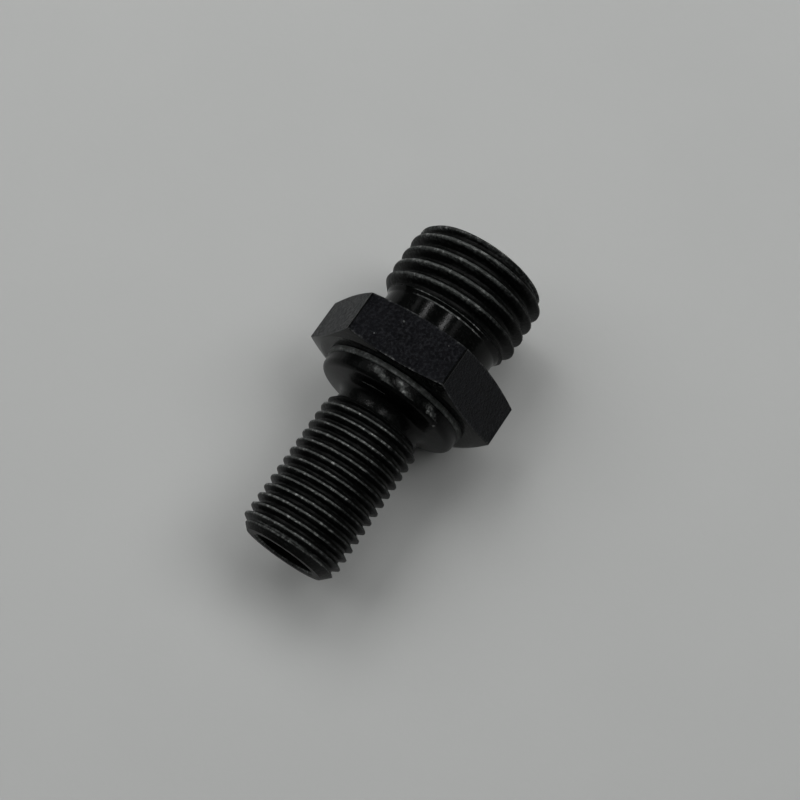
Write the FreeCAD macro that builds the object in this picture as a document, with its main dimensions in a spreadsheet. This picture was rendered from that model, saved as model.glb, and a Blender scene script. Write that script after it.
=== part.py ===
import FreeCAD, Part
import math
import os
import Sketcher

# Straight union turned from hexagon bar, in one piece.
# The axis lies along X, the tube end at +X and the stud end at -X.
# It rests on one flat of the hexagon: z = 0 is that flat, x = 0 the middle of the length.
# The body's own x = 0 is the face of the hexagon that the collar stands against.

doc = FreeCAD.newDocument("StraightUnion")

sizes = doc.addObject("Spreadsheet::Sheet", "Sizes")

SIZES = [
    ("hex_across_flats", 17.0, "width over two opposite flats"),
    ("hex_length", 4.8, "length of the hexagon along the axis"),
    ("hex_chamfer_angle", 15.0, "slope of the corner chamfers against the hexagon's end faces"),
    ("hex_face_inset", 0.2, "how far the turned ring on an end face lies inside the flats"),
    ("stud_length", 18.0, "from the hexagon to the end face of the stud"),
    ("stud_thread_diameter", 10.0, "major diameter of the stud's thread, pitch 1"),
    ("stud_end_chamfer", 1.0, "chamfer on the stud's first turn"),
    ("stud_relief_depth", 0.75, "radial depth of the neck behind the stud's thread"),
    ("stud_relief_width", 1.2, "straight width of that neck"),
    ("stud_runout_angle", 45.0, "slope of the run-out from thread to neck"),
    ("collar_length", 2.3, "from the hexagon to the neck"),
    ("collar_rim_diameter", 14.4, "outermost rim of the collar"),
    ("collar_rim_width", 0.55, "width of the rim beside the hexagon"),
    ("collar_edge_diameter", 14.0, "where the collar's wall meets its sloping underside"),
    ("collar_seat_angle", 10.0, "slope of the underside against a plane across the axis"),
    ("collar_round", 0.6, "rounding between underside and wall"),
    ("neck_fillet", 0.8, "rounding in the corner of the neck"),
    ("tube_end_length", 10.0, "from the hexagon to the end face of the tube end"),
    ("tube_thread_diameter", 14.0, "major diameter of the nut thread, pitch 1.5"),
    ("tube_end_chamfer", 0.7, "chamfer on the tube end's first turn"),
    ("tube_relief_depth", 1.1, "radial depth of the relief behind the nut thread"),
    ("tube_relief_width", 2.65, "straight width of that relief"),
    ("tube_runout_angle", 37.0, "slope of the run-out from thread to relief"),
    ("relief_fillet", 0.4, "rounding between relief and hexagon"),
    ("tube_diameter", 8.0, "outside diameter of the tube that the socket takes"),
    ("tube_wall", 1.0, "wall of that tube: the shoulder that stops it is as wide"),
    ("tube_stop_depth", 7.0, "from the end face to the shoulder"),
    ("cone_angle", 24.0, "full angle of the cone in the mouth"),
    ("cone_rise", 1.0, "how far the cone opens beyond the socket, on the radius"),
    ("bore_edge_break", 0.2, "broken edge where the bore leaves the stud"),
]

for row, (alias, number, note) in enumerate(SIZES, start=1):
    sizes.set(f"A{row}", note)
    sizes.set(f"B{row}", str(number))
    sizes.setAlias(f"B{row}", alias)
doc.recompute()


def size(alias):
    return float(sizes.get(alias))


body = doc.addObject("PartDesign::Body", "UnionBody")
body.Label = "union_body"


def origin_plane(role):
    for feature in body.Origin.OriginFeatures:
        if feature.Role == role:
            return feature
    raise RuntimeError("no origin plane " + role)


def new_sketch(name, role):
    sketch = body.newObject("Sketcher::SketchObject", name)
    sketch.AttachmentSupport = [(origin_plane(role), "")]
    sketch.MapMode = "FlatFace"
    return sketch


START, END = 1, 2
AXIS = -1
ORIGIN = (-1, 1)


class Profile:
    """A closed outline in the half plane of the axis: x runs along it, y is the radius."""

    def __init__(self, name):
        self.sketch = new_sketch(name, "XZ_Plane")
        self.corners = {}

    def outline(self, corners):
        names = [name for name, _, _ in corners]
        first = self.sketch.GeometryCount
        for k, (name, x, y) in enumerate(corners):
            following = corners[(k + 1) % len(corners)]
            line = Part.LineSegment(
                FreeCAD.Vector(x, y, 0), FreeCAD.Vector(following[1], following[2], 0)
            )
            self.sketch.addGeometry(line, False)
            self.corners[name] = (first + k, START)
        for k in range(len(names)):
            before = first + (k - 1) % len(names)
            self.sketch.addConstraint(
                Sketcher.Constraint("Coincident", before, END, first + k, START)
            )

    def on_axis(self, *names):
        for name in names:
            self.sketch.addConstraint(
                Sketcher.Constraint("PointOnObject", *self.corners[name], AXIS)
            )

    def level(self, *names):
        for name in names:
            self.sketch.addConstraint(Sketcher.Constraint("Horizontal", self.corners[name][0]))

    def upright(self, *names):
        for name in names:
            self.sketch.addConstraint(Sketcher.Constraint("Vertical", self.corners[name][0]))

    def bind(self, kind, first, second, label, expression):
        a = ORIGIN if first == "origin" else self.corners[first]
        b = ORIGIN if second == "origin" else self.corners[second]
        value = self.measure(kind, a, b)
        index = self.sketch.addConstraint(Sketcher.Constraint(kind, *a, *b, value))
        self.sketch.renameConstraint(index, label)
        self.sketch.setExpression("Constraints." + label, expression)

    def measure(self, kind, a, b):
        start = self.sketch.getPoint(*a)
        end = self.sketch.getPoint(*b)
        return end.x - start.x if kind == "DistanceX" else end.y - start.y


# The hexagon, flats facing up and down.
hex_sketch = new_sketch("HexagonOutline", "YZ_Plane")
across = size("hex_across_flats")
corner_radius = across / 2 / math.cos(math.radians(30))
points = [
    FreeCAD.Vector(
        corner_radius * math.cos(math.radians(60 * k)),
        corner_radius * math.sin(math.radians(60 * k)),
        0,
    )
    for k in range(6)
]
for k in range(6):
    hex_sketch.addGeometry(Part.LineSegment(points[k], points[(k + 1) % 6]), False)
guide = hex_sketch.addGeometry(
    Part.Circle(FreeCAD.Vector(0, 0, 0), FreeCAD.Vector(0, 0, 1), corner_radius), True
)
for k in range(6):
    hex_sketch.addConstraint(Sketcher.Constraint("Coincident", k, END, (k + 1) % 6, START))
    hex_sketch.addConstraint(Sketcher.Constraint("PointOnObject", k, START, guide))
for k in range(1, 6):
    hex_sketch.addConstraint(Sketcher.Constraint("Equal", 0, k))
hex_sketch.addConstraint(Sketcher.Constraint("Coincident", guide, 3, *ORIGIN))
hex_sketch.addConstraint(Sketcher.Constraint("PointOnObject", 0, START, AXIS))
flat_distance = hex_sketch.addConstraint(
    Sketcher.Constraint("DistanceY", 4, START, 1, START, across)
)
hex_sketch.renameConstraint(flat_distance, "across_flats")
hex_sketch.setExpression("Constraints.across_flats", "Sizes.hex_across_flats")

hexagon = body.newObject("PartDesign::Pad", "Hexagon")
hexagon.Profile = hex_sketch
hexagon.setExpression("Length", "Sizes.hex_length")
hex_sketch.Visibility = False
doc.recompute()

# The stud end: thread, run-out, neck, and the collar under the hexagon.
stud_r = size("stud_thread_diameter") / 2
neck_r = stud_r - size("stud_relief_depth")
neck_x = -size("collar_length")
runout_x = neck_x - size("stud_relief_width")
thread_x = runout_x - size("stud_relief_depth") / math.tan(
    math.radians(size("stud_runout_angle"))
)
stud_x = -size("stud_length")
edge_r = size("collar_edge_diameter") / 2
edge_x = neck_x + (edge_r - neck_r) * math.tan(math.radians(size("collar_seat_angle")))
rim_r = size("collar_rim_diameter") / 2
rim_x = -size("collar_rim_width")
stud_chamfer = size("stud_end_chamfer")

stud = Profile("StudProfile")
stud.outline([
    ("end_axis", stud_x, 0),
    ("end_face", stud_x, stud_r - stud_chamfer),
    ("first_turn", stud_x + stud_chamfer, stud_r),
    ("last_turn", thread_x, stud_r),
    ("neck_start", runout_x, neck_r),
    ("neck_end", neck_x, neck_r),
    ("collar_edge", edge_x, edge_r),
    ("rim_start", rim_x, rim_r),
    ("rim_end", 0, rim_r),
    ("hex_axis", 0, 0),
])
stud.sketch.addConstraint(
    Sketcher.Constraint("Coincident", *stud.corners["hex_axis"], *ORIGIN)
)
stud.on_axis("end_axis")
stud.upright("end_axis", "rim_end")
stud.level("first_turn", "neck_start", "rim_start")
stud.bind("DistanceX", "end_axis", "origin", "stud_length", "Sizes.stud_length")
stud.bind("DistanceX", "end_face", "first_turn", "chamfer_along", "Sizes.stud_end_chamfer")
stud.bind("DistanceY", "end_face", "first_turn", "chamfer_across", "Sizes.stud_end_chamfer")
stud.bind("DistanceY", "origin", "first_turn", "thread_radius", "Sizes.stud_thread_diameter / 2")
stud.bind("DistanceY", "neck_start", "last_turn", "relief_depth", "Sizes.stud_relief_depth")
stud.bind(
    "DistanceX", "last_turn", "neck_start", "runout",
    "Sizes.stud_relief_depth / tan(Sizes.stud_runout_angle * 1 deg)",
)
stud.bind("DistanceX", "neck_start", "neck_end", "relief_width", "Sizes.stud_relief_width")
stud.bind("DistanceX", "neck_end", "origin", "collar_length", "Sizes.collar_length")
stud.bind("DistanceY", "origin", "collar_edge", "edge_radius", "Sizes.collar_edge_diameter / 2")
stud.bind(
    "DistanceX", "neck_end", "collar_edge", "seat_slope",
    "(Sizes.collar_edge_diameter / 2 - Sizes.stud_thread_diameter / 2"
    " + Sizes.stud_relief_depth) * tan(Sizes.collar_seat_angle * 1 deg)",
)
stud.bind("DistanceX", "rim_start", "rim_end", "rim_width", "Sizes.collar_rim_width")
stud.bind("DistanceY", "origin", "rim_start", "rim_radius", "Sizes.collar_rim_diameter / 2")

stud_turning = body.newObject("PartDesign::Revolution", "StudEnd")
stud_turning.Profile = stud.sketch
stud_turning.ReferenceAxis = (stud.sketch, ["H_Axis"])
stud_turning.Angle = 360
stud.sketch.Visibility = False
doc.recompute()

# The tube end: relief beside the hexagon, run-out, and the thread for the nut.
tube_r = size("tube_thread_diameter") / 2
relief_r = tube_r - size("tube_relief_depth")
hex_x = size("hex_length")
relief_x = hex_x + size("tube_relief_width")
nut_x = relief_x + size("tube_relief_depth") / math.tan(
    math.radians(size("tube_runout_angle"))
)
mouth_x = hex_x + size("tube_end_length")
tube_chamfer = size("tube_end_chamfer")

tube = Profile("TubeEndProfile")
tube.outline([
    ("hex_axis", hex_x, 0),
    ("relief_start", hex_x, relief_r),
    ("relief_end", relief_x, relief_r),
    ("last_turn", nut_x, tube_r),
    ("first_turn", mouth_x - tube_chamfer, tube_r),
    ("end_face", mouth_x, tube_r - tube_chamfer),
    ("end_axis", mouth_x, 0),
])
tube.on_axis("hex_axis", "end_axis")
tube.upright("hex_axis", "end_face")
tube.level("relief_start", "last_turn")
tube.bind("DistanceX", "origin", "hex_axis", "hex_length", "Sizes.hex_length")
tube.bind("DistanceX", "hex_axis", "end_axis", "tube_end_length", "Sizes.tube_end_length")
tube.bind("DistanceX", "relief_start", "relief_end", "relief_width", "Sizes.tube_relief_width")
tube.bind("DistanceY", "origin", "last_turn", "thread_radius", "Sizes.tube_thread_diameter / 2")
tube.bind("DistanceY", "relief_end", "last_turn", "relief_depth", "Sizes.tube_relief_depth")
tube.bind(
    "DistanceX", "relief_end", "last_turn", "runout",
    "Sizes.tube_relief_depth / tan(Sizes.tube_runout_angle * 1 deg)",
)
tube.bind("DistanceX", "first_turn", "end_face", "chamfer_along", "Sizes.tube_end_chamfer")
tube.bind("DistanceY", "end_face", "first_turn", "chamfer_across", "Sizes.tube_end_chamfer")

tube_turning = body.newObject("PartDesign::Revolution", "TubeEnd")
tube_turning.Profile = tube.sketch
tube_turning.ReferenceAxis = (tube.sketch, ["H_Axis"])
tube_turning.Angle = 360
tube.sketch.Visibility = False
doc.recompute()

# The chamfers that turn the hexagon's corners down to a ring on each end face.
# They run out past the corners by the inset, so that no corner is left standing.
ring_r = across / 2 - size("hex_face_inset")
clear_r = corner_radius + size("hex_face_inset")
chamfer_x = (clear_r - ring_r) * math.tan(math.radians(size("hex_chamfer_angle")))
RING = "Sizes.hex_across_flats / 2 - Sizes.hex_face_inset"
CLEAR = "Sizes.hex_across_flats / 2 / cos(30 deg) + Sizes.hex_face_inset"
SLOPE = "((" + CLEAR + ") - (" + RING + ")) * tan(Sizes.hex_chamfer_angle * 1 deg)"

corners = Profile("HexChamferProfile")
corners.outline([
    ("low_ring", 0, ring_r),
    ("low_clear", 0, clear_r),
    ("low_slope", chamfer_x, clear_r),
])
corners.outline([
    ("high_ring", hex_x, ring_r),
    ("high_slope", hex_x - chamfer_x, clear_r),
    ("high_clear", hex_x, clear_r),
])
corners.upright("low_ring", "high_clear")
corners.level("low_clear", "high_slope")
corners.sketch.addConstraint(
    Sketcher.Constraint("PointOnObject", *corners.corners["low_ring"], -2)
)
corners.bind("DistanceY", "origin", "low_ring", "low_ring_radius", RING)
corners.bind("DistanceY", "origin", "low_clear", "low_clear_radius", CLEAR)
corners.bind("DistanceX", "low_clear", "low_slope", "low_depth", SLOPE)
corners.bind("DistanceX", "origin", "high_ring", "hex_length", "Sizes.hex_length")
corners.bind("DistanceY", "origin", "high_ring", "high_ring_radius", RING)
corners.bind("DistanceY", "origin", "high_clear", "high_clear_radius", CLEAR)
corners.bind("DistanceX", "high_slope", "high_clear", "high_depth", SLOPE)

volume_before = body.Shape.Volume
corner_turning = body.newObject("PartDesign::Groove", "HexChamfers")
corner_turning.Profile = corners.sketch
corner_turning.ReferenceAxis = (corners.sketch, ["H_Axis"])
corner_turning.Angle = 360
corners.sketch.Visibility = False
doc.recompute()
if not body.Shape.Volume < volume_before:
    raise RuntimeError("the chamfers cut nothing")

# The passage: bore through the stud, shoulder for the tube, socket, and cone mouth.
socket_r = size("tube_diameter") / 2
bore_r = socket_r - size("tube_wall")
shoulder_x = mouth_x - size("tube_stop_depth")
cone_x = mouth_x - size("cone_rise") / math.tan(math.radians(size("cone_angle") / 2))
edge_break = size("bore_edge_break")
BORE = "Sizes.tube_diameter / 2 - Sizes.tube_wall"

passage = Profile("PassageProfile")
passage.outline([
    ("end_axis", stud_x, 0),
    ("bore_edge", stud_x, bore_r + edge_break),
    ("bore_start", stud_x + edge_break, bore_r),
    ("bore_end", shoulder_x, bore_r),
    ("shoulder", shoulder_x, socket_r),
    ("cone_start", cone_x, socket_r),
    ("cone_mouth", mouth_x, socket_r + size("cone_rise")),
    ("mouth_axis", mouth_x, 0),
])
passage.on_axis("end_axis", "mouth_axis")
passage.upright("end_axis", "bore_end", "cone_mouth")
passage.level("bore_start", "shoulder")
passage.bind("DistanceX", "end_axis", "origin", "stud_length", "Sizes.stud_length")
passage.bind("DistanceX", "bore_edge", "bore_start", "break_along", "Sizes.bore_edge_break")
passage.bind("DistanceY", "bore_start", "bore_edge", "break_across", "Sizes.bore_edge_break")
passage.bind("DistanceY", "origin", "bore_end", "bore_radius", BORE)
passage.bind("DistanceX", "bore_end", "mouth_axis", "stop_depth", "Sizes.tube_stop_depth")
passage.bind("DistanceY", "origin", "shoulder", "socket_radius", "Sizes.tube_diameter / 2")
passage.bind(
    "DistanceX", "cone_start", "cone_mouth", "cone_length",
    "Sizes.cone_rise / tan(Sizes.cone_angle / 2 * 1 deg)",
)
passage.bind("DistanceY", "cone_start", "cone_mouth", "cone_rise", "Sizes.cone_rise")
passage.bind(
    "DistanceX", "origin", "mouth_axis", "mouth_station",
    "Sizes.hex_length + Sizes.tube_end_length",
)

volume_before = body.Shape.Volume
boring = body.newObject("PartDesign::Groove", "Passage")
boring.Profile = passage.sketch
boring.ReferenceAxis = (passage.sketch, ["H_Axis"])
boring.Angle = 360
passage.sketch.Visibility = False
doc.recompute()
if not body.Shape.Volume < volume_before:
    raise RuntimeError("the passage cuts nothing")


def ring_edges(x, radius):
    """Names of the round edges about the axis at this place in the body."""
    found = []
    for number, edge in enumerate(body.Tip.Shape.Edges, start=1):
        curve = edge.Curve
        if not isinstance(curve, Part.Circle):
            continue
        if abs(curve.Center.x - x) < 1e-4 and abs(curve.Radius - radius) < 1e-4:
            found.append(f"Edge{number}")
    if not found:
        raise RuntimeError(f"no round edge at x {x:.3f}, radius {radius:.3f}")
    return found


def add_fillet(name, x, radius, alias):
    carrier = body.Tip
    edges = ring_edges(x, radius)
    fillet = body.newObject("PartDesign::Fillet", name)
    fillet.Base = (carrier, edges)
    fillet.setExpression("Radius", "Sizes." + alias)
    doc.recompute()


add_fillet("ReliefFillet", hex_x, relief_r, "relief_fillet")
add_fillet("NeckFillet", neck_x, neck_r, "neck_fillet")
add_fillet("CollarRounding", edge_x, edge_r, "collar_round")

# Lying on a flat, with the middle of its length at x = 0.
body.setExpression(
    ".Placement.Base.x",
    "(Sizes.stud_length - Sizes.hex_length - Sizes.tube_end_length) / 2 * 1 mm",
)
body.setExpression(".Placement.Base.z", "Sizes.hex_across_flats / 2 * 1 mm")
doc.recompute()

for item in doc.Objects:
    if "Invalid" in item.State or "Error" in item.State:
        raise RuntimeError(f"{item.Name} failed: {item.State}")
for item in doc.Objects:
    if item.TypeId == "Sketcher::SketchObject" and not item.FullyConstrained:
        raise RuntimeError(f"{item.Name} isn't fully constrained")
shape = body.Shape
if shape.isNull() or not shape.isValid() or len(shape.Solids) != 1:
    raise RuntimeError("the union isn't one valid solid")

os.makedirs("parts", exist_ok=True)
shape.exportStep("parts/union_body.step")
box = shape.BoundBox
print(f"union_body: {shape.Volume:.1f} cubic mm")
print(f"x {box.XMin:.3f} {box.XMax:.3f}  y {box.YMin:.3f} {box.YMax:.3f}  z {box.ZMin:.3f} {box.ZMax:.3f}")
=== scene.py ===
import math
import bpy
from mathutils import Matrix, Vector


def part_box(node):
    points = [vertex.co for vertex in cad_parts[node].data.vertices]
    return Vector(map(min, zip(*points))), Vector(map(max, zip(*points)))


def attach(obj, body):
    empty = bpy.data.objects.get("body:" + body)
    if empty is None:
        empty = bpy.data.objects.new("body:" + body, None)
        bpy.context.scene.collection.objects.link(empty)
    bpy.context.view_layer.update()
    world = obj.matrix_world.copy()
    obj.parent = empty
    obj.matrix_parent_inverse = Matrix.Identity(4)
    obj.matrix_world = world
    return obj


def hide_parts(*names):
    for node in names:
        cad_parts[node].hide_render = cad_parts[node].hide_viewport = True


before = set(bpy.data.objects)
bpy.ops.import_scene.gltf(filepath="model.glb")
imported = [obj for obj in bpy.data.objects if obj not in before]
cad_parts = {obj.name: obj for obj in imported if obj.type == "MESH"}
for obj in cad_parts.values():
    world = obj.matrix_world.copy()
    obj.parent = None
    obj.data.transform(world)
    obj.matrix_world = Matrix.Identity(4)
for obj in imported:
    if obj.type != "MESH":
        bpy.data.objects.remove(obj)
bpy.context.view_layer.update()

# A straight union lying on one flat of its hexagon, drawn as one closed mesh about the axis.
# Stations and radii are in millimetres: x runs along the axis, psi turns about it from straight up.
MM = 0.001

# The end faces and the width across flats, to the micron.
low_corner, high_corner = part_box("union_body")
STUD_FACE = round(low_corner.x / MM, 3)
NUT_FACE = round(high_corner.x / MM, 3)
TOP_Z = round(high_corner.z / MM, 3)
FLAT_R = TOP_Z / 2
AXIS_Z = FLAT_R

# Hexagon.
STUD_LENGTH = 18.0
HEX_LENGTH = 4.8
HEX_X0 = STUD_FACE + STUD_LENGTH
HEX_X1 = HEX_X0 + HEX_LENGTH
HEX_TURN = math.radians(60)
HEX_SLOPE = math.tan(math.radians(15))
FACE_RING_R = FLAT_R - 0.2
FACE_MIDDLE_R = 7.7
FACE_INNER_R = 7.3
FACE_STEP = 0.02
FACE_EDGE = 0.06
FLAT_EDGE = 0.05
CORNER_BREAK = math.radians(0.42)

# Width of the narrow bands that mark an edge.
EDGE_BAND = 0.04

# Collar and neck, with a short scratch on the collar's underside, its angles in degrees.
COLLAR_LENGTH = 2.3
SEAT_X = HEX_X0 - COLLAR_LENGTH
SEAT_SLOPE = math.radians(10)
SEAT_OUTER_R = 6.3
SCRATCH_R0 = 5.40
SCRATCH_R1 = 5.52
SCRATCH_EDGE = 0.06
SCRATCH_ANGLE = 8
SCRATCH_HALF = 15
WALL_R = 7.04
WALL_ROUND = 0.6
WALL_END = (0.65, WALL_R + 0.01)
RIM_R = 7.20
RIM_LENGTH = 0.55
RIM_X = HEX_X0 - RIM_LENGTH
RIM_FOOT = (RIM_X - 0.05, WALL_R + 0.02)
RIM_STEP = (RIM_X - 0.01, WALL_R + 0.08)
RIM_EDGE = (RIM_X + 0.03, RIM_R - 0.01)
NECK_R = 4.25
NECK_LENGTH = 1.2
NECK_FILLET = 0.8
NECK_X = SEAT_X - NECK_LENGTH
NECK_EDGE = 0.06

# Stud thread: the middle of one crest, straight above the axis, is at STUD_CREST_X.
STUD_PITCH = 1.0
STUD_CREST_R = 4.93
STUD_ROOT_R = 4.39
STUD_CREST_X = -3.0476
STUD_BLANK_R = 4.95
STUD_CHAMFER = 1.0
STUD_FACE_R = STUD_BLANK_R - STUD_CHAMFER
STUD_FACE_BAND = 0.12
STUD_RUNOUT_X = NECK_X - (STUD_BLANK_R - NECK_R)

# Relief, the small step behind it, and the nut thread.
RELIEF_R = 5.88
RELIEF_FILLET = 0.4
RELIEF_MIDDLE_X = 8.0
RELIEF_END = 9.03
RELIEF_LIT = math.radians(-12)
STEP_X = 9.45
STEP_R = 6.12
STEP_FOOT = (STEP_X - 0.10, STEP_R - 0.05)
STEP_EDGE = (STEP_X - 0.06, STEP_R - 0.03)
NUT_PITCH = 1.5
NUT_CREST_R = 6.93
NUT_ROOT_R = 6.08
NUT_CREST_X = 15.012
NUT_BLANK_R = 6.98
NUT_RUNOUT_X = 10.43
NUT_CHAMFER = 0.7
NUT_FACE_R = 6.3
NUT_FACE_BAND = 0.08

# Inside: cone mouth, socket for the tube and bore.
TUBE_STOP = 7.0
SHOULDER_X = NUT_FACE - TUBE_STOP
SOCKET_R = 4.0
SOCKET_BAND = 0.1
CONE_RISE = 1.0
CONE_SLOPE = math.radians(12)
CONE_X = round(NUT_FACE - CONE_RISE / math.tan(CONE_SLOPE), 3)
CONE_MIDDLE_X = 14.0
MOUTH_R = SOCKET_R + CONE_RISE
MOUTH_BREAK = 0.06
CONE_EDGE = (NUT_FACE - 0.12, MOUTH_R - 0.013)
CONE_TOP = (NUT_FACE - 0.20, MOUTH_R - 0.030)
BORE_R = 3.0
BORE_STEPS = 12
BORE_BREAK = 0.2
BORE_BAND = 0.05

# Little bright chips: where they are (x, y, z) and how big.
CHIPS = [
    ((5.15, 1.08, TOP_Z), 0.12), ((2.85, 2.68, TOP_Z), 0.06), ((5.33, -3.44, TOP_Z), 0.07),
    ((0.19, -4.56, 13.85), 0.22), ((-0.24, -5.40, 12.44), 0.20),
]

# Places on the collar's wall painted grey and bright: the first two are painted highlights where
# the lamps shine on the wall, and the third is a rubbed place. Each has its angle in degrees, its
# lean for each millimetre along the axis, half width and strength. The angles hold at the middle
# station.
WALL_HIGHLIGHTS_AND_RUB = [(4, 20, 9, 0.85), (-15, 14, 8, 0.80), (-41, 14, 8, 0.60)]
WALL_PATCH_MIDDLE = 0.45
WALL_PATCH_FROM = 0.05

# Evenly spaced columns of vertices, and the marks that each vertex carries for the finish. The wear
# and grey marks carry real wear and painted light: painted highlights on the collar's wall and the
# relief's edges, and painted shade on the crests' far side.
COLUMNS = 168
MARKS = ("wear", "grey", "flat", "thread", "satin")


def columns():
    """Angles about the axis, with four more beside each corner of the hexagon."""
    angles = [2 * math.pi * k / COLUMNS for k in range(COLUMNS)]
    for k in range(6):
        corner = HEX_TURN * (k + 0.5)
        angles += [corner + CORNER_BREAK * step for step in (-2, -1, 1, 2)]
    return sorted(angles)


PSI = columns()
COUNT = len(PSI)


def from_corner(psi):
    """Angle to the nearest corner of the hexagon."""
    return HEX_TURN / 2 - abs((psi + HEX_TURN / 2) % HEX_TURN - HEX_TURN / 2)


def flat_r(psi):
    """Distance of the hexagon's side from the axis, its corners just broken."""
    beyond = from_corner(psi)
    side = FLAT_R / math.cos(HEX_TURN / 2 - beyond)
    corner = FLAT_R / math.cos(HEX_TURN / 2 - CORNER_BREAK) * math.cos(CORNER_BREAK)
    return min(side, corner / math.cos(min(beyond, CORNER_BREAK)))


def along(pairs, x):
    """Value at x on the straight lines through these (x, value) pairs."""
    if x <= pairs[0][0]:
        return pairs[0][1]
    for (xa, ra), (xb, rb) in zip(pairs, pairs[1:]):
        if x <= xb:
            return ra + (rb - ra) * (x - xa) / (xb - xa)
    return pairs[-1][1]


def arc(cx, cr, radius, start, end, steps):
    """Points (x, r) on an arc, angles in degrees from +x towards +r."""
    points = []
    for k in range(steps + 1):
        a = math.radians(start + (end - start) * k / steps)
        points.append((cx + radius * math.cos(a), cr + radius * math.sin(a)))
    return points


def smooth(value, low, high):
    """Zero at low and one at high, with a soft start and end."""
    t = min(1.0, max(0.0, (value - low) / (high - low)))
    return t * t * (3 - 2 * t)


def tooth(pitch, crest_r, root_r):
    """Half of one turn's section: (distance from the crest's middle, radius)."""
    depth = crest_r - root_r
    half_crest = pitch / 14
    flank = depth * math.tan(math.radians(30))
    foot = half_crest + flank
    soft = 0.035 * pitch
    crest = [
        (0.0, crest_r),
        (half_crest * 0.60, crest_r - 0.05 * soft),
        (half_crest * 0.95, crest_r - 0.30 * soft),
        (half_crest + 0.35 * soft, crest_r - 0.90 * soft),
    ]
    side = [(half_crest + flank * share, crest_r - depth * share) for share in (0.20, 0.50, 0.80)]
    root = [
        (foot - soft * 0.3, root_r + soft * 0.80),
        (foot + soft * 0.6, root_r + soft * 0.15),
        (pitch / 2, root_r),
    ]
    return crest + side + root


class Thread:
    """A right-hand thread whose crest moves back by one pitch a turn, cut by an envelope.

    Its crests are rubbed bright all round, with painted light on top: painted brighter towards the
    lit side at the angle set below, and painted shade on the far side. The width of the worn sharp
    edge and the depths that bright wear and grey go down from a crest are in pitches.
    """

    # Painted light: the crests are brightest at this angle, on the lit side, and fall to the least
    # share on the shaded side.
    LIT_SIDE = math.radians(35)
    SHADED_SIDE_SHARE = 0.15
    EDGE_WIDTH = 0.26
    EDGE_WEAR = 0.8
    BRIGHT_DEPTH = 0.12
    CHAMFER_FROM = 0.35
    CHAMFER_GREY = 0.45

    def __init__(self, pitch, crest_r, root_r, crest_x, envelope, chamfer, grey_depth, bright):
        self.pitch = pitch
        self.crest_r = crest_r
        self.root_r = root_r
        self.crest_x = crest_x
        self.envelope = envelope
        self.chamfer = chamfer
        self.grey_depth = grey_depth
        self.bright = bright
        self.low = envelope[0][0]
        self.high = envelope[-1][0]
        self.half = tooth(pitch, crest_r, root_r)
        ups = [d for d, _ in self.half]
        self.offsets = sorted([-d for d in ups[1:-1]] + ups)
        self.per_turn = len(self.offsets)

    def crest(self, psi):
        """Station of one crest's middle at this angle."""
        return self.crest_x - self.pitch * psi / (2 * math.pi)

    def offset(self, x, psi):
        """Distance from the nearest crest's middle, negative on the stud's side."""
        return (x - self.crest(psi) + self.pitch / 2) % self.pitch - self.pitch / 2

    def cut(self, x, psi):
        """Radius of the thread's own form."""
        return along(self.half, abs(self.offset(x, psi)))

    def radius(self, x, psi):
        """Radius of the form as the envelope leaves it."""
        return min(self.cut(x, psi), along(self.envelope, x))

    def row_x(self, row, psi):
        """Station of one row of vertices; the rows follow the helix."""
        turn, k = divmod(row, self.per_turn)
        return self.crest(psi) + turn * self.pitch + self.offsets[k]

    def rows(self):
        """Row numbers that cover the whole length at any angle."""
        first = math.floor((self.low - self.crest(0)) / self.pitch) - 1
        last = math.ceil((self.high + self.pitch - self.crest(0)) / self.pitch) + 1
        return range(first * self.per_turn, last * self.per_turn)

    def edge(self, x, psi):
        """One along the sharp edge where the end chamfer cuts a turn."""
        low, high = self.chamfer
        if not low < x < high or self.radius(x, psi) <= self.root_r:
            return 0.0
        apart = abs(self.cut(x, psi) - along(self.envelope, x)) / self.pitch
        return max(0.0, 1 - apart / self.EDGE_WIDTH)

    def rub_and_painted_light(self, x, psi, depth):
        """How far a crest is rubbed down to this depth, with painted light: most on the lit side,
        least on the shaded side.
        """
        facing = smooth(math.cos(psi - self.LIT_SIDE), 0.10, 0.60)
        most = self.SHADED_SIDE_SHARE + (1 - self.SHADED_SIDE_SHARE) * facing
        below = (self.crest_r - self.radius(x, psi)) / self.pitch
        return most * (1 - smooth(below, 0.02, depth))

    def wear(self, x, psi):
        """Bright wear on the crests, painted brighter on the lit side, and on the sharp edge."""
        crests = self.bright * self.rub_and_painted_light(x, psi, self.BRIGHT_DEPTH)
        return max(self.EDGE_WEAR * self.edge(x, psi), crests)

    def grey(self, x, psi):
        """Dull grey on the rubbed crests, painted lighter on the lit side, and beside them on a
        part of the end chamfer.
        """
        low, high = self.chamfer
        share = self.offset(x, psi) / self.pitch
        beside = share >= 0.20 or share < -0.30
        coned = low + self.CHAMFER_FROM * (high - low) < x < high
        rub_and_painted_light = max(self.edge(x, psi), self.rub_and_painted_light(x, psi, self.grey_depth))
        return max(rub_and_painted_light, self.CHAMFER_GREY if coned and beside else 0.0)


verts = []
faces = []
marks = {name: [] for name in MARKS}


def add_vert(x, r, psi, given):
    """One vertex with its marks; those not given are zero."""
    verts.append((x * MM, r * math.sin(psi) * MM, (AXIS_Z + r * math.cos(psi)) * MM))
    for name, values in marks.items():
        values.append(given.get(name, 0.0))
    return len(verts) - 1


def ring(x, r, **given):
    """One ring of vertices; each value is a number or a function of the angle."""
    made = []
    for psi in PSI:
        station = x(psi) if callable(x) else x
        radius = r(psi) if callable(r) else r
        here = {name: value(psi) if callable(value) else value for name, value in given.items()}
        made.append(add_vert(station, radius, psi, here))
    return made


def chain(rings):
    """Faces between neighbouring rings."""
    for a, b in zip(rings, rings[1:]):
        for j in range(COUNT):
            k = (j + 1) % COUNT
            faces.append((a[j], a[k], b[k], b[j]))


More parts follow.
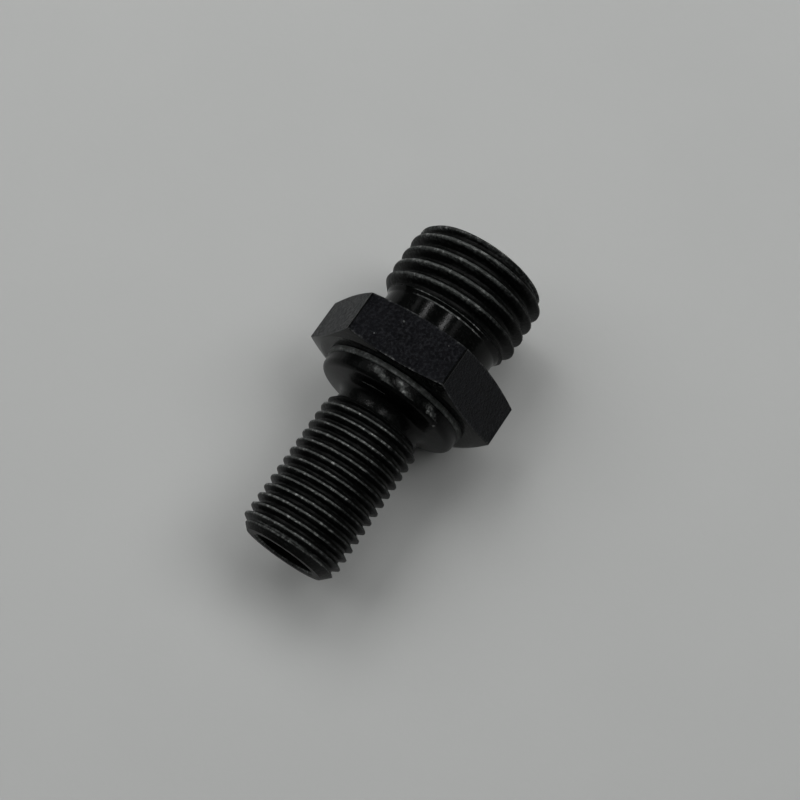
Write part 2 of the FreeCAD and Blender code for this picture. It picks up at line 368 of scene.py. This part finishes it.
def thread_surface(thread, low_ring, high_ring):
    """Rows of vertices follow the helix and stop on the two rings."""
    snap = 0.004
    made = {}

    def vert(row, j):
        if j == COUNT:
            return vert(row - thread.per_turn, 0)
        psi = PSI[j]
        x = thread.row_x(row, psi)
        if x <= thread.low + snap:
            return low_ring[j]
        if x >= thread.high - snap:
            return high_ring[j]
        if (row, j) not in made:
            given = {"wear": thread.wear(x, psi), "grey": thread.grey(x, psi), "thread": 1.0}
            made[row, j] = add_vert(x, thread.radius(x, psi), psi, given)
        return made[row, j]

    for row in thread.rows():
        for j in range(COUNT):
            loop = (vert(row, j), vert(row, j + 1), vert(row + 1, j + 1), vert(row + 1, j))
            kept = list(dict.fromkeys(loop))
            if len(kept) >= 3:
                faces.append(tuple(kept))


stud = Thread(
    STUD_PITCH, STUD_CREST_R, STUD_ROOT_R, STUD_CREST_X,
    envelope=[
        (STUD_FACE, STUD_FACE_R),
        (STUD_FACE + STUD_CHAMFER, STUD_BLANK_R),
        (STUD_RUNOUT_X, STUD_BLANK_R),
        (NECK_X, NECK_R),
    ],
    chamfer=(STUD_FACE, STUD_FACE + STUD_CHAMFER), grey_depth=0.12, bright=0.5,
)
nut = Thread(
    NUT_PITCH, NUT_CREST_R, NUT_ROOT_R, NUT_CREST_X,
    envelope=[
        (STEP_X, STEP_R),
        (NUT_RUNOUT_X, NUT_BLANK_R),
        (NUT_FACE - NUT_CHAMFER, NUT_BLANK_R),
        (NUT_FACE, NUT_FACE_R),
    ],
    chamfer=(NUT_FACE - NUT_CHAMFER, NUT_FACE), grey_depth=0.20, bright=0.25,
)


def seat_x(r):
    """Station of the collar's sloping underside at this radius."""
    return SEAT_X + (r - NECK_R) * math.tan(SEAT_SLOPE)


def near(psi, middle, half):
    """One at this angle in degrees, falling to zero at the half width."""
    off = (math.degrees(psi) - middle + 180) % 360 - 180
    return 1 - smooth(abs(off), 0.0, half)


def collar_rings(neck):
    """Neck, underside, wall and rim of the collar, up to the hexagon's face."""

    def scratch(psi):
        return min(1.0, 2 * near(psi, SCRATCH_ANGLE, SCRATCH_HALF))

    def rub_and_painted_light(x, share):
        """Painted highlights and a rubbed place at this station, slanting along the wall."""
        lean = x - WALL_PATCH_MIDDLE
        return lambda psi: share * max(
            strength * near(psi, angle + slant * lean, half)
            for angle, slant, half, strength in WALL_HIGHLIGHTS_AND_RUB
        )

    def wall_ring(x, r):
        share = 1.0 if x > WALL_PATCH_FROM else 0.0
        # Painted highlights in grey and bare steel, and one rubbed place, on the wall rings.
        return ring(x, r, satin=1.0, grey=rub_and_painted_light(x, share), wear=rub_and_painted_light(x, 0.35 * share))

    rings = [neck, ring(NECK_X + NECK_EDGE, NECK_R, satin=1.0)]
    centre = seat_x(NECK_R + NECK_FILLET) - NECK_FILLET / math.cos(SEAT_SLOPE)
    for x, r in arc(centre, NECK_R + NECK_FILLET, NECK_FILLET, 270, 350, 8):
        rings.append(ring(x, r, satin=1.0))
    underside = (
        (SCRATCH_R0 - SCRATCH_EDGE, 0.0), (SCRATCH_R0, scratch),
        (SCRATCH_R1, scratch), (SCRATCH_R1 + SCRATCH_EDGE, 0.0), (SEAT_OUTER_R, 0.0),
    )
    for r, bright_mark in underside:
        rings.append(ring(seat_x(r), r, wear=bright_mark, grey=bright_mark, satin=1.0))
    low = WALL_R - WALL_ROUND
    centre = seat_x(low) + WALL_ROUND / math.cos(SEAT_SLOPE)
    for x, r in arc(centre, low, WALL_ROUND, 170, 90, 8):
        rings.append(wall_ring(x, r))
    rings.append(wall_ring(*WALL_END))
    rings.append(ring(*RIM_FOOT, satin=1.0))
    rings.append(ring(*RIM_STEP, wear=0.1, grey=1.0))
    rings.append(ring(*RIM_EDGE, wear=0.15, grey=1.0))
    rings.append(ring(HEX_X0 - 2 * EDGE_BAND, RIM_R, wear=0.1, grey=1.0))
    rings.append(ring(HEX_X0 - EDGE_BAND, RIM_R))
    rings.append(ring(HEX_X0, RIM_R + EDGE_BAND / 2, flat=0.2))
    return rings


def hexagon_rings():
    """Both end faces, their corner chamfers and the six flats."""

    def station(psi, share, side):
        depth = (flat_r(psi) - FACE_RING_R) * share * HEX_SLOPE
        return HEX_X0 + FACE_STEP + depth if side < 0 else HEX_X1 - FACE_STEP - depth

    def slope_ring(share, side, wear, flat):
        return ring(
            lambda psi: station(psi, share, side),
            lambda psi: FACE_RING_R + (flat_r(psi) - FACE_RING_R) * share,
            wear=wear, flat=flat,
        )

    def dull(psi):
        """The flats are dull, and their broken corners aren't."""
        return 1.0 if from_corner(psi) > CORNER_BREAK * 1.5 else 0.0

    def side_ring(share, wear=0.0):
        def x(psi):
            low = station(psi, 1.0, -1) + FLAT_EDGE
            high = station(psi, 1.0, 1) - FLAT_EDGE
            return low + (high - low) * share
        return ring(x, flat_r, wear=wear, flat=dull)

    edge_r = FACE_RING_R - FACE_EDGE
    rings = [ring(HEX_X0, FACE_MIDDLE_R, flat=0.2), ring(HEX_X0, edge_r, flat=0.2)]
    rings += [slope_ring(share, -1, 0.03, 0.0) for share in (0.05, 0.35, 0.70, 0.95)]
    rings += [slope_ring(1.0, -1, 0.15, 1.0), side_ring(0.0, 0.15)]
    rings += [side_ring(share) for share in (0.03, 0.25, 0.5, 0.75, 0.97)]
    rings += [side_ring(1.0, 0.12), slope_ring(1.0, 1, 0.12, 1.0)]
    rings += [slope_ring(share, 1, 0.0, 0.6) for share in (0.95, 0.70, 0.35, 0.05)]
    rings += [ring(HEX_X1, edge_r, flat=0.5), ring(HEX_X1, FACE_INNER_R)]
    return rings


def relief_rings(step):
    """From the hexagon's face through the relief to the step before the nut thread."""

    def lit(psi):
        """Painted highlight: the two narrow edges are painted bright near the angle where the lamp
        shines on them.
        """
        return smooth(math.cos(psi - RELIEF_LIT), 0.72, 0.92)

    gloss = 0.25
    rings = []
    corner = (HEX_X1 + RELIEF_FILLET, RELIEF_R + RELIEF_FILLET)
    for x, r in arc(*corner, RELIEF_FILLET, 180, 270, 6):
        rings.append(ring(x, r, satin=gloss))
    rings.append(ring(RELIEF_MIDDLE_X, RELIEF_R, satin=gloss))
    rings.append(ring(RELIEF_END - 2 * EDGE_BAND, RELIEF_R, satin=gloss))
    # Painted highlight on the two narrow edges, at the relief's end and at the step.
    rings.append(ring(RELIEF_END - EDGE_BAND, RELIEF_R, wear=lit, grey=lit))
    rings.append(ring(RELIEF_END + EDGE_BAND, RELIEF_R + EDGE_BAND / 2, wear=lit, grey=lit))
    rings.append(ring(RELIEF_END + 2 * EDGE_BAND, RELIEF_R + EDGE_BAND))
    rings.append(ring(*STEP_FOOT))
    rings.append(ring(*STEP_EDGE, wear=lit, grey=lit))
    rings.append(step)
    return rings


def inside_rings(mouth, stud_end):
    """End face, cone mouth, tube socket, shoulder, bore and the stud's end face."""
    cone_r = SOCKET_R + (CONE_MIDDLE_X - CONE_X) * math.tan(CONE_SLOPE)
    rings = [
        mouth,
        ring(NUT_FACE, NUT_FACE_R - NUT_FACE_BAND),
        ring(NUT_FACE, MOUTH_R + 2 * MOUTH_BREAK),
        ring(NUT_FACE, MOUTH_R + MOUTH_BREAK, wear=0.4),
        ring(NUT_FACE - MOUTH_BREAK, MOUTH_R, wear=0.4),
        ring(*CONE_EDGE),
        ring(*CONE_TOP, grey=0.5),
        ring(CONE_MIDDLE_X, cone_r, grey=0.5),
        ring(CONE_X, SOCKET_R, grey=0.4),
        ring(CONE_X - SOCKET_BAND, SOCKET_R, grey=0.2),
        ring(SHOULDER_X, SOCKET_R, grey=0.3),
        ring(SHOULDER_X, BORE_R),
    ]
    bore_end = STUD_FACE + BORE_BREAK
    for k in range(1, BORE_STEPS):
        x = SHOULDER_X + (bore_end - SHOULDER_X) * k / BORE_STEPS
        rings.append(ring(x, BORE_R, thread=1.0))
    rings.append(ring(bore_end + BORE_BAND, BORE_R, thread=1.0))
    rings.append(ring(bore_end, BORE_R, grey=1.0, wear=0.3, thread=1.0))
    half = BORE_BREAK / 2
    rings.append(ring(STUD_FACE + half, BORE_R + half, grey=1.0, wear=0.3, thread=1.0))
    rings.append(ring(STUD_FACE, BORE_R + BORE_BREAK, thread=1.0))
    rings.append(ring(STUD_FACE, STUD_FACE_R - STUD_FACE_BAND, thread=1.0))
    rings.append(stud_end)
    return rings


def union_mesh():
    """The whole surface from the stud's end face round to its bore, with its marks."""
    stud_end = ring(STUD_FACE, STUD_FACE_R, thread=1.0)
    neck = ring(NECK_X, NECK_R, thread=0.6)
    step = ring(STEP_X, lambda psi: nut.radius(STEP_X, psi))
    mouth = ring(NUT_FACE, lambda psi: nut.radius(NUT_FACE, psi), wear=0.3, thread=1.0)
    thread_surface(stud, stud_end, neck)
    chain(collar_rings(neck) + hexagon_rings() + relief_rings(step))
    thread_surface(nut, step, mouth)
    chain(inside_rings(mouth, stud_end))

    mesh = bpy.data.meshes.new("union")
    mesh.from_pydata(verts, [], faces)
    mesh.validate()
    for name, values in marks.items():
        attribute = mesh.attributes.new(name, "FLOAT", "POINT")
        attribute.data.foreach_set("value", values)
    mesh.polygons.foreach_set("use_smooth", [True] * len(mesh.polygons))
    mesh.set_sharp_from_angle(angle=math.radians(32))
    return mesh


def place(name, data):
    """A new object that holds this data, in the scene."""
    item = bpy.data.objects.new(name, data)
    bpy.context.scene.collection.objects.link(item)
    return item


class Nodes:
    """Short ways to add shader nodes to one material."""

    # A mix node has its sockets for each kind of value side by side: first input and result.
    NUMBER_SOCKETS = (2, 0)
    COLOUR_SOCKETS = (6, 2)

    def __init__(self, name):
        self.material = bpy.data.materials.new(name)
        self.material.use_nodes = True
        self.tree = self.material.node_tree
        self.tree.nodes.clear()

    def add(self, kind, **settings):
        node = self.tree.nodes.new(kind)
        for key, value in settings.items():
            setattr(node, key, value)
        return node

    def link(self, a, b):
        self.tree.links.new(a, b)

    def put(self, socket, value):
        """Sets a constant on a socket, or links another socket to it."""
        if isinstance(value, tuple):
            socket.default_value = (*value, 1.0)
        elif isinstance(value, (int, float)):
            socket.default_value = value
        else:
            self.link(value, socket)

    def noise(self, vector, scale, detail=4.0, rough=0.55):
        node = self.add("ShaderNodeTexNoise")
        node.inputs["Scale"].default_value = scale
        node.inputs["Detail"].default_value = detail
        node.inputs["Roughness"].default_value = rough
        self.link(vector, node.inputs["Vector"])
        return node.outputs["Fac"]

    def waves(self, vector, scale, distortion):
        """Bands across the axis."""
        node = self.add("ShaderNodeTexWave", wave_type="BANDS", bands_direction="X")
        node.inputs["Scale"].default_value = scale
        node.inputs["Distortion"].default_value = distortion
        self.link(vector, node.inputs["Vector"])
        return node.outputs["Fac"]

    def attribute(self, name):
        return self.add("ShaderNodeAttribute", attribute_name=name).outputs["Fac"]

    def span(self, value, low, high, out_low=0.0, out_high=1.0):
        """Maps low to high softly onto the range that comes out."""
        node = self.add("ShaderNodeMapRange", interpolation_type="SMOOTHSTEP")
        node.inputs["From Min"].default_value = low
        node.inputs["From Max"].default_value = high
        node.inputs["To Min"].default_value = out_low
        node.inputs["To Max"].default_value = out_high
        self.link(value, node.inputs["Value"])
        return node.outputs["Result"]

    def calc(self, operation, a, b):
        node = self.add("ShaderNodeMath", operation=operation)
        self.put(node.inputs[0], a)
        self.put(node.inputs[1], b)
        return node.outputs[0]

    def mix(self, factor, a, b):
        """Mix of two colours or two numbers, each a constant or a socket."""
        colours = any(isinstance(v, tuple) or getattr(v, "type", "") == "RGBA" for v in (a, b))
        node = self.add("ShaderNodeMix", data_type="RGBA" if colours else "FLOAT")
        first, result = self.COLOUR_SOCKETS if colours else self.NUMBER_SOCKETS
        self.link(factor, node.inputs["Factor"])
        self.put(node.inputs[first], a)
        self.put(node.inputs[first + 1], b)
        return node.outputs[result]

    def bump(self, height, distance, strength=1.0):
        node = self.add("ShaderNodeBump")
        node.inputs["Strength"].default_value = strength
        node.inputs["Distance"].default_value = distance
        self.link(height, node.inputs["Height"])
        return node.outputs["Normal"]

    def finish(self, shader):
        out = self.add("ShaderNodeOutputMaterial")
        self.link(shader.outputs["BSDF"], out.inputs["Surface"])
        return self.material


# Noise patterns of the finish: scale for a metre, detail and roughness.
CLOUD = (420.0, 5.0, 0.6)
GRAIN = (4200.0, 4.0, 0.75)
MOTTLE = (3600.0, 3.0, 0.6)
SCUFF = (1500.0, 3.0, 0.6)
PATCH = (330.0, 3.0, 0.5)

# Bands across the axis: scale for a metre and distortion.
STREAKS = (1200.0, 2.0)
TOOL_LINES = (2600.0, 1.2)

# Colours as linear red, green and blue: a dark and a light one for each kind of surface.
TURNED = ((0.0013, 0.0015, 0.0014), (0.0026, 0.0028, 0.0027))
MILLED = ((0.0010, 0.0012, 0.0017), (0.0028, 0.0031, 0.0041))
MILLED_GRAIN = (0.0068, 0.0072, 0.0092)
MILLED_MOTTLE = (0.0125, 0.0130, 0.0152)
# The grey skin and steel colours also paint the highlights on the collar's wall and the relief's
# edges.
GREY_SKIN_AND_SHEEN = ((0.043, 0.046, 0.044), (0.060, 0.064, 0.062))
STEEL = ((0.085, 0.090, 0.087), (0.40, 0.41, 0.40))
TABLE = ((0.434, 0.441, 0.434), (0.442, 0.449, 0.442))

FINISH_IOR = 1.5
FINISH_SPECULAR = 0.09
FINISH_RELIEF = 0.000014
TABLE_ROUGHNESS = 0.8
TABLE_GRAIN = (900.0, 3.0)
TABLE_CLOUD = (45.0, 3.0)
TABLE_RELIEF = 0.00004


def black_oxide():
    """Blackened steel: glossy where turned, duller in the threads, grainy on the flats."""
    m = Nodes("black_oxide")
    spot = m.add("ShaderNodeTexCoord").outputs["Object"]
    bright_mark, grey, flat, thread, satin = [m.attribute(name) for name in MARKS]
    cloud = m.noise(spot, *CLOUD)
    grain = m.noise(spot, *GRAIN)
    mottle = m.noise(spot, *MOTTLE)
    scuff = m.noise(spot, *SCUFF)
    patch = m.noise(spot, *PATCH)

    # Colour of the coat, and the grey skin where it is rubbed thin and where it is painted as a
    # highlight.
    turned = m.mix(m.span(cloud, 0.35, 0.65), *TURNED)
    milled = m.mix(m.span(cloud, 0.35, 0.68), *MILLED)
    milled = m.mix(m.span(grain, 0.46, 0.66), milled, MILLED_GRAIN)
    milled = m.mix(m.span(mottle, 0.44, 0.72), milled, MILLED_MOTTLE)
    coat = m.mix(flat, turned, milled)
    skin_and_sheen = m.mix(m.span(scuff, 0.40, 0.62), *GREY_SKIN_AND_SHEEN)
    streaks = m.calc("MULTIPLY", thread, m.span(m.waves(spot, *STREAKS), 0.1, 0.9, -0.15, 0.15))
    grey = m.calc("ADD", grey, m.span(mottle, 0.36, 0.60, -0.32, 0.12))
    grey = m.span(m.calc("ADD", grey, streaks), 0.0, 1.1)
    coat = m.mix(grey, coat, skin_and_sheen)

    # Bare steel, where the coat is worn through, at the chips and where it is painted as a
    # highlight.
    steel_share = m.calc("MULTIPLY", bright_mark, m.span(scuff, 0.42, 0.60, 0.20, 1.75))
    steel_share = m.calc("MULTIPLY", steel_share, m.span(patch, 0.36, 0.56, 0.45, 1.10))
    for centre, radius in CHIPS:
        away = m.add("ShaderNodeVectorMath", operation="DISTANCE")
        away.inputs[1].default_value = [value * MM for value in centre]
        m.link(spot, away.inputs[0])
        ragged = m.calc("ADD", away.outputs["Value"], m.calc("MULTIPLY", scuff, 0.3 * radius * MM))
        chip = m.span(ragged, 0.6 * radius * MM, 1.2 * radius * MM, 0.9, 0.0)
        steel_share = m.calc("MAXIMUM", steel_share, chip)
    steel = m.mix(m.span(mottle, 0.48, 0.68), *STEEL)

    # Roughness: glossy where turned, then the threads, satin, the flats, the skin and steel.
    rough = m.mix(thread, m.span(cloud, 0.3, 0.7, 0.10, 0.16), 0.42)
    rough = m.mix(satin, rough, 0.24)
    rough = m.mix(flat, rough, m.span(mottle, 0.35, 0.65, 0.30, 0.52))
    rough = m.mix(grey, rough, 0.50)
    rough = m.mix(steel_share, rough, 0.50)

    # Relief: tool lines and dents where turned, a coarse grain on the flats.
    dents = m.calc("MULTIPLY", scuff, m.mix(thread, 0.55, 4.0))
    fine = m.calc("ADD", m.calc("MULTIPLY", m.waves(spot, *TOOL_LINES), 0.15), dents)
    fine = m.calc("ADD", fine, m.calc("MULTIPLY", m.calc("MULTIPLY", mottle, satin), 1.6))
    coarse = m.calc("ADD", m.calc("MULTIPLY", grain, 6.0), m.calc("MULTIPLY", mottle, 6.0))

    shader = m.add("ShaderNodeBsdfPrincipled")
    m.link(m.mix(steel_share, coat, steel), shader.inputs["Base Color"])
    m.link(m.mix(steel_share, 0.0, 0.55), shader.inputs["Metallic"])
    m.link(rough, shader.inputs["Roughness"])
    m.link(m.bump(m.mix(flat, fine, coarse), FINISH_RELIEF), shader.inputs["Normal"])
    shader.inputs["IOR"].default_value = FINISH_IOR
    shader.inputs["Specular IOR Level"].default_value = FINISH_SPECULAR
    return m.finish(shader)


def table_top():
    """Pale, matt and almost even."""
    m = Nodes("table_top")
    spot = m.add("ShaderNodeTexCoord").outputs["Object"]
    tone = m.mix(m.span(m.noise(spot, *TABLE_CLOUD), 0.3, 0.7), *TABLE)
    shader = m.add("ShaderNodeBsdfPrincipled")
    m.link(tone, shader.inputs["Base Color"])
    shader.inputs["Roughness"].default_value = TABLE_ROUGHNESS
    shader.inputs["Specular IOR Level"].default_value = 0.0
    m.link(m.bump(m.noise(spot, *TABLE_GRAIN), TABLE_RELIEF, 0.4), shader.inputs["Normal"])
    return m.finish(shader)


mesh = union_mesh()
mesh.materials.append(black_oxide())
union = place("union", mesh)
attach(union, "root")
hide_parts("union_body")


def floor_mesh(half):
    """A square at height zero, this many metres from its middle to each side."""
    corners = [(-half, -half, 0), (half, -half, 0), (half, half, 0), (-half, half, 0)]
    sheet = bpy.data.meshes.new("floor")
    sheet.from_pydata(corners, [], [(0, 1, 2, 3)])
    sheet.materials.append(table_top())
    return sheet


floor = place("floor", floor_mesh(3.0))


# Lamps: azimuth, elevation and half angle in degrees, distance in metres, share of the light.
# The soft ones light the floor and the dull parts, and the others make the streaks of shine.
SOFT_LAMPS = [
    ("soft_left", 47, 57, 14, 0.45, 0.183),
    ("soft_right", 303, 54, 15, 0.80, 0.297),
    ("soft_side", 92, 52, 24, 0.45, 0.338),
    ("soft_front", -6, 62, 12, 0.60, 0.176),
]
SHINE_LAMPS = [
    ("shine_left", 56, 57, 4.0, 0.9, 0.084),
    ("shine_right", 327, 68, 4.0, 0.9, 0.112),
    ("shine_low_left", 67, 38, 4.0, 0.9, 0.007),
    ("shine_low_right", 301, 53, 4.0, 0.9, 0.011),
    ("shine_side", 100, 40, 20, 0.9, 0.028),
]
ROOM_COLOUR = (0.95, 1.0, 0.98, 1.0)
ROOM_STRENGTH = 0.02


def lamp(name, azimuth, elevation, half_angle, distance, share):
    """A round lamp aimed at the middle of the union."""
    around = math.radians(azimuth)
    above = math.radians(elevation)
    away = Vector((
        math.cos(around) * math.cos(above), math.sin(around) * math.cos(above), math.sin(above)
    ))
    light = bpy.data.lights.new(name, "AREA")
    light.shape = "DISK"
    light.size = 2 * distance * math.tan(math.radians(half_angle))
    light.energy = share * (math.pi * distance) ** 2 / math.sin(above)
    item = place(name, light)
    item.location = Vector((0, 0, AXIS_Z * MM)) + away * distance
    item.rotation_euler = away.to_track_quat("Z", "Y").to_euler()
    return item


for row in SOFT_LAMPS:
    lamp(*row).visible_glossy = False
for row in SHINE_LAMPS:
    lamp(*row).visible_diffuse = False

world = bpy.data.worlds.new("room")
bpy.context.scene.world = world
world.use_nodes = True
background = world.node_tree.nodes["Background"]
background.inputs["Color"].default_value = ROOM_COLOUR
background.inputs["Strength"].default_value = ROOM_STRENGTH

# Camera: focal length and picture width in pixels, its place in metres and its own axes.
FOCAL_PIXELS = 1401.4
PICTURE_PIXELS = 800
SENSOR_WIDTH = 36.0
CAMERA_PLACE = (-0.032043, -0.028132, 0.129318)
CAMERA_RIGHT = (0.55141, -0.83340, -0.03729)
CAMERA_BACK = (-0.25968, -0.21395, 0.94170)


def photo_camera():
    """The camera at the photograph's viewing angle."""
    data = bpy.data.cameras.new("camera")
    data.sensor_width = SENSOR_WIDTH
    data.lens = SENSOR_WIDTH * FOCAL_PIXELS / PICTURE_PIXELS
    data.clip_start = 0.01
    data.clip_end = 20.0
    back = Vector(CAMERA_BACK).normalized()
    up = back.cross(Vector(CAMERA_RIGHT)).normalized()
    right = up.cross(back).normalized()
    turn = Matrix((right, up, back)).transposed().to_4x4()
    item = place("camera", data)
    item.matrix_world = Matrix.Translation(CAMERA_PLACE) @ turn
    return item


bpy.context.scene.camera = photo_camera()
bpy.context.scene.view_settings.view_transform = "Standard"
